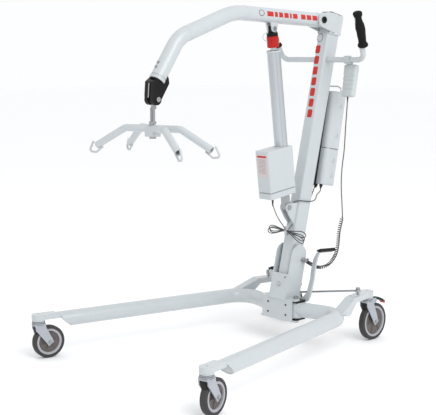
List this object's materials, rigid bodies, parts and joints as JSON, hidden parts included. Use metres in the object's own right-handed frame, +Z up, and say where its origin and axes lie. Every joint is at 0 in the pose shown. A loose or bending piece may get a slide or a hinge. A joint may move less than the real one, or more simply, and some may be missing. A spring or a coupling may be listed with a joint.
{
  "type": "patient lift hoist",
  "caption": "Mobile patient lift: spreading wheeled legs, leaning mast with push handle, powered boom with battery and handset, and a hooked spreader bar on a swivel.",
  "frame": {"origin": "on the floor under the centre of the bounding box of the hoist without its cords, with the legs as drawn", "axes": "+Z up, -Y to the front where the legs and the boom point, +X to the operator's left, YZ the symmetry plane"},
  "size_m": [0.9834, 1.2498, 1.3284],
  "materials": {
    "powder_coat": "gloss powder coat",
    "steel": "bright zinc plate",
    "dark_steel": "blackened",
    "alloy": "anodised",
    "pale_plastic": "smooth",
    "black_plastic": "matte",
    "grey_plastic": "satin",
    "wheel_plastic": "satin",
    "tyre": "grey rubber",
    "grip_rubber": "textured",
    "cable": "smooth",
    "red_plastic": "satin",
    "black_metal": "satin powder coat"
  },
  "bodies": {
    "base": {"base_bracket": "powder_coat", "bracket_screws": "dark_steel", "steel_bolts": "steel", "glide_plates": "black_plastic", "mast_tube": "powder_coat", "mast_cap": "black_plastic", "mast_head": "powder_coat", "hinge_bolt": "black_metal", "push_handle": "powder_coat", "grips": "grip_rubber", "actuator_foot": "powder_coat", "battery_rail": "black_plastic", "control_box": "pale_plastic", "handset": "pale_plastic", "handset_lead": "cable", "handset_coil": "cable"},
    "actuator": {"motor_base": "pale_plastic", "motor_eye": "steel", "motor_housing": "pale_plastic", "column": "alloy", "column_collar": "pale_plastic", "motor_lead": "cable", "motor_hank": "cable", "hank_tie": "pale_plastic"},
    "actuator_rod": {"inner_rod": "steel", "rod_end": "black_metal"},
    "release_ring": {"release_collar": "red_plastic"},
    "boom": {"boom_tube": "powder_coat", "boom_bolts": "steel", "clevis": "black_metal"},
    "hanger_bar": {"eye_bar": "steel"},
    "spreader_bar": {"spreader": "powder_coat", "spreader_hooks": "steel"},
    "battery": {"battery_pack": "pale_plastic", "battery_handle": "pale_plastic"},
    "stop_switch": {"stop_button": "red_plastic"},
    "key_up": {"up_button": "grey_plastic"},
    "key_down": {"down_button": "grey_plastic"},
    "leg_l": {"leg_left": "powder_coat", "leg_arms_left": "powder_coat"},
    "leg_r": {"leg_right": "powder_coat", "leg_arms_right": "powder_coat"},
    "rod_l": {"tie_rod_left": "steel"},
    "rod_r": {"tie_rod_right": "steel"},
    "pedals": {"rocker": "powder_coat", "pedal_pads": "grip_rubber"},
    "caster_fl": {"front_fork_left": "grey_plastic"},
    "wheel_fl": {"front_tyre_left": "tyre", "front_hub_left": "wheel_plastic"},
    "caster_fr": {"front_fork_right": "grey_plastic"},
    "wheel_fr": {"front_tyre_right": "tyre", "front_hub_right": "wheel_plastic"},
    "caster_rl": {"rear_fork_left": "grey_plastic"},
    "wheel_rl": {"rear_tyre_left": "tyre", "rear_hub_left": "wheel_plastic"},
    "caster_rr": {"rear_fork_right": "grey_plastic"},
    "wheel_rr": {"rear_tyre_right": "tyre", "rear_hub_right": "wheel_plastic"},
    "brake_l": {"brake_left": "black_plastic"},
    "brake_r": {"brake_right": "black_plastic"}
  },
  "joints": [
    {"name": "boom_lift", "type": "hinge", "parent": "base", "child": "boom", "pos_m": [0, 0.442, 1.28481], "axis": [-1, 0, 0], "range_deg": [-2, 40]},
    {"name": "actuator_tilt", "type": "hinge", "parent": "base", "child": "actuator", "pos_m": [0, 0.27003, 0.54601], "axis": [-1, 0, 0], "range_deg": [-0.2, 3.3]},
    {"name": "rod_turn", "type": "hinge", "parent": "boom", "child": "actuator_rod", "pos_m": [0, 0.1785, 1.24581], "axis": [-1, 0, 0], "range_deg": [-36.6, 1.9]},
    {"name": "release_twist", "type": "hinge", "parent": "actuator_rod", "child": "release_ring", "pos_m": [0, 0.19147, 1.14665], "axis": [0, -0.1297, 0.9916], "range_deg": [0, 60]},
    {"name": "hanger_swing", "type": "hinge", "parent": "boom", "child": "hanger_bar", "pos_m": [0, -0.417, 0.99081], "axis": [-1, 0, 0], "range_deg": [-42, 10]},
    {"name": "spreader_turn", "type": "hinge", "parent": "hanger_bar", "child": "spreader_bar", "pos_m": [0, -0.422, 0.88981], "axis": [0, 0, 1], "continuous": true},
    {"name": "leg_left_spread", "type": "hinge", "parent": "base", "child": "leg_l", "pos_m": [0.066, 0.263, 0.142], "axis": [0, 0, 1], "range_deg": [-12, 0]},
    {"name": "leg_right_spread", "type": "hinge", "parent": "base", "child": "leg_r", "pos_m": [-0.066, 0.263, 0.142], "axis": [0, 0, 1], "range_deg": [0, 12]},
    {"name": "pedal_rock", "type": "hinge", "parent": "base", "child": "pedals", "pos_m": [0, 0.3, 0.155], "axis": [0, 1, 0], "range_deg": [0, 45]},
    {"name": "tie_rod_left_turn", "type": "hinge", "parent": "leg_l", "child": "rod_l", "pos_m": [0.2448, 0.43051, 0.219], "axis": [0, 0, 1], "range_deg": [0, 3.2]},
    {"name": "tie_rod_right_turn", "type": "hinge", "parent": "leg_r", "child": "rod_r", "pos_m": [-0.2448, 0.43051, 0.219], "axis": [0, 0, 1], "range_deg": [-3.2, 0]},
    {"name": "front_left_swivel", "type": "hinge", "parent": "leg_l", "child": "caster_fl", "pos_m": [0.46574, -0.60007, 0.14], "axis": [0, 0, 1], "continuous": true},
    {"name": "front_left_wheel", "type": "hinge", "parent": "caster_fl", "child": "wheel_fl", "pos_m": [0.45777, -0.56291, 0.0625], "axis": [0.9778, 0.2096, 0], "continuous": true},
    {"name": "front_right_swivel", "type": "hinge", "parent": "leg_r", "child": "caster_fr", "pos_m": [-0.46574, -0.60007, 0.14], "axis": [0, 0, 1], "continuous": true},
    {"name": "front_right_wheel", "type": "hinge", "parent": "caster_fr", "child": "wheel_fr", "pos_m": [-0.45777, -0.56291, 0.0625], "axis": [0.9778, -0.2096, 0], "continuous": true},
    {"name": "rear_left_swivel", "type": "hinge", "parent": "leg_l", "child": "caster_rl", "pos_m": [0.22803, 0.50874, 0.172], "axis": [0, 0, 1], "continuous": true},
    {"name": "rear_left_wheel", "type": "hinge", "parent": "caster_rl", "child": "wheel_rl", "pos_m": [0.22803, 0.54874, 0.075], "axis": [1, 0, 0], "continuous": true},
    {"name": "rear_right_swivel", "type": "hinge", "parent": "leg_r", "child": "caster_rr", "pos_m": [-0.22803, 0.50874, 0.172], "axis": [0, 0, 1], "continuous": true},
    {"name": "rear_right_wheel", "type": "hinge", "parent": "caster_rr", "child": "wheel_rr", "pos_m": [-0.22803, 0.54874, 0.075], "axis": [1, 0, 0], "continuous": true},
    {"name": "left_brake", "type": "hinge", "parent": "caster_rl", "child": "brake_l", "pos_m": [0.22803, 0.54174, 0.163], "axis": [-1, 0, 0], "range_deg": [0, 12]},
    {"name": "right_brake", "type": "hinge", "parent": "caster_rr", "child": "brake_r", "pos_m": [-0.22803, 0.54174, 0.163], "axis": [-1, 0, 0], "range_deg": [0, 12]},
    {"name": "up_press", "type": "slide", "parent": "base", "child": "key_up", "axis": [0, -0.9877, 0.1564], "range_m": [0, 0.0015], "stiffness_N_per_m": 500, "springref_m": -0.001},
    {"name": "down_press", "type": "slide", "parent": "base", "child": "key_down", "axis": [0, -0.9877, 0.1564], "range_m": [0, 0.0015], "stiffness_N_per_m": 500, "springref_m": -0.001},
    {"name": "stop_press", "type": "slide", "parent": "base", "child": "stop_switch", "axis": [0, -0.9816, 0.1908], "range_m": [0, 0.004], "stiffness_N_per_m": 800, "springref_m": -0.001},
    {"name": "battery_lift", "type": "slide", "parent": "base", "child": "battery", "axis": [0, 0.1908, 0.9816], "range_m": [0, 0.15]}
  ],
  "couplings": [
    {"joint": "actuator_tilt", "follows": "boom_lift", "ratio": 0.08},
    {"joint": "rod_turn", "follows": "boom_lift", "ratio": -0.912},
    {"joint": "leg_right_spread", "follows": "leg_left_spread", "ratio": -1},
    {"joint": "pedal_rock", "follows": "leg_left_spread", "ratio": -3.75},
    {"joint": "tie_rod_left_turn", "follows": "leg_left_spread", "ratio": -0.2535},
    {"joint": "tie_rod_right_turn", "follows": "leg_left_spread", "ratio": 0.2535}
  ]
}
